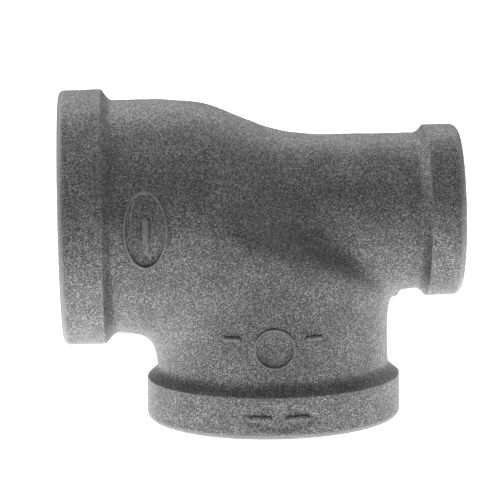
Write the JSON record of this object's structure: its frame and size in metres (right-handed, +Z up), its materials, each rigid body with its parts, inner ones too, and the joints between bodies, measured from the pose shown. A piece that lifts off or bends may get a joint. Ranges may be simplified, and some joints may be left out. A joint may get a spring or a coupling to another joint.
{
  "type": "pipe tee fitting",
  "caption": "Reducing pipe tee: banded cast body with a large run end, a small run end and a large branch outlet, each with a tapered inside thread.",
  "frame": {"origin": "centre of the branch outlet's end face, on the branch axis", "axes": "+Z up along the branch axis, from the branch outlet towards the run; +X along the run, towards the small end; the tee is symmetric about the XZ plane"},
  "size_m": [0.0856, 0.055, 0.0715],
  "materials": {
    "black_iron": "satin"
  },
  "bodies": {
    "root": {"tee_casting": "black_iron"}
  },
  "joints": []
}
